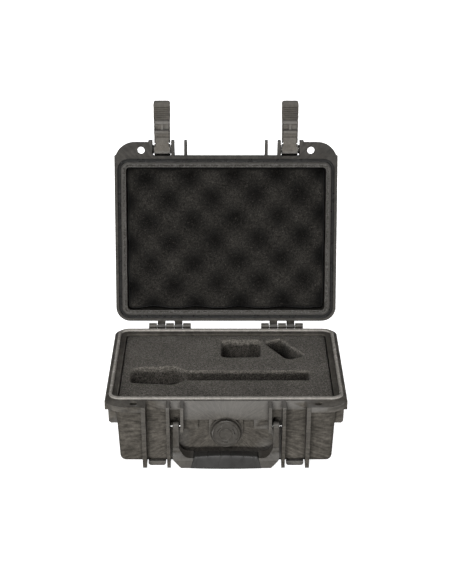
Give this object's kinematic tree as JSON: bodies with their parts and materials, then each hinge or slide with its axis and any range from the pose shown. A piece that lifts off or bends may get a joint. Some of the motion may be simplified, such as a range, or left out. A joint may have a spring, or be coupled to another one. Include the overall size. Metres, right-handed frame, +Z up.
{
  "type": "microphone case",
  "caption": "Small waterproof hard case with a hinged lid, claw-and-lever latches, folding handle, pressure valve and cut foam for a handheld microphone.",
  "frame": {"origin": "on the table under the middle of the base's rim, at the middle of the stacking plinth's face", "axes": "+X to the right along the hinges, +Y from the front with the handle to the hinges, +Z up"},
  "size_m": [0.233, 0.2656, 0.3103],
  "materials": {
    "case_plastic": "matte",
    "latch_plastic": "satin",
    "handle_plastic": "satin",
    "grip_rubber": "matte",
    "valve_plastic": "satin",
    "seal_rubber": "satin",
    "base_foam": "matte",
    "lid_foam": "matte",
    "steel": "polished"
  },
  "bodies": {
    "base": {"base_shell": "case_plastic", "base_foam": "base_foam", "base_foam_pad": "base_foam", "hinge_pin_left": "steel", "hinge_pin_right": "steel", "handle_pin_left": "steel", "handle_pin_right": "steel", "valve_body": "valve_plastic", "valve_seal": "seal_rubber", "valve_nut": "valve_plastic"},
    "lid": {"lid_shell": "case_plastic", "lid_foam": "lid_foam", "lid_gasket": "seal_rubber", "latch_pin_left": "steel", "latch_pin_right": "steel"},
    "claw_left": {"latch_claw_left": "latch_plastic", "latch_link_pin_left": "steel"},
    "claw_right": {"latch_claw_right": "latch_plastic", "latch_link_pin_right": "steel"},
    "lever_left": {"latch_lever_left": "latch_plastic"},
    "lever_right": {"latch_lever_right": "latch_plastic"},
    "handle": {"handle_frame": "handle_plastic", "handle_grip": "grip_rubber"},
    "knob": {"valve_knob": "valve_plastic"}
  },
  "joints": [
    {"name": "lid_hinge", "type": "hinge", "parent": "base", "child": "lid", "pos_m": [0, 0.0942, 0.074], "axis": [1, 0, 0], "range_deg": [0, 100.3]},
    {"name": "latch_left_swing", "type": "hinge", "parent": "lid", "child": "claw_left", "pos_m": [-0.0666, 0.13769, 0.25738], "axis": [1, 0, 0], "range_deg": [-20, 79.7]},
    {"name": "latch_right_swing", "type": "hinge", "parent": "lid", "child": "claw_right", "pos_m": [0.0666, 0.13769, 0.25738], "axis": [1, 0, 0], "range_deg": [-20, 79.7]},
    {"name": "latch_left_lift", "type": "hinge", "parent": "claw_left", "child": "lever_left", "pos_m": [-0.0666, 0.13569, 0.28718], "axis": [-1, 0, 0], "range_deg": [0, 8]},
    {"name": "latch_right_lift", "type": "hinge", "parent": "claw_right", "child": "lever_right", "pos_m": [0.0666, 0.13569, 0.28718], "axis": [-1, 0, 0], "range_deg": [0, 8]},
    {"name": "handle_swing", "type": "hinge", "parent": "base", "child": "handle", "pos_m": [0, -0.092, 0.049], "axis": [-1, 0, 0], "range_deg": [0, 100]},
    {"name": "knob_turn", "type": "hinge", "parent": "base", "child": "knob", "pos_m": [0, -0.086, 0.0394], "axis": [0, -1, 0], "range_deg": [0, 180]}
  ]
}
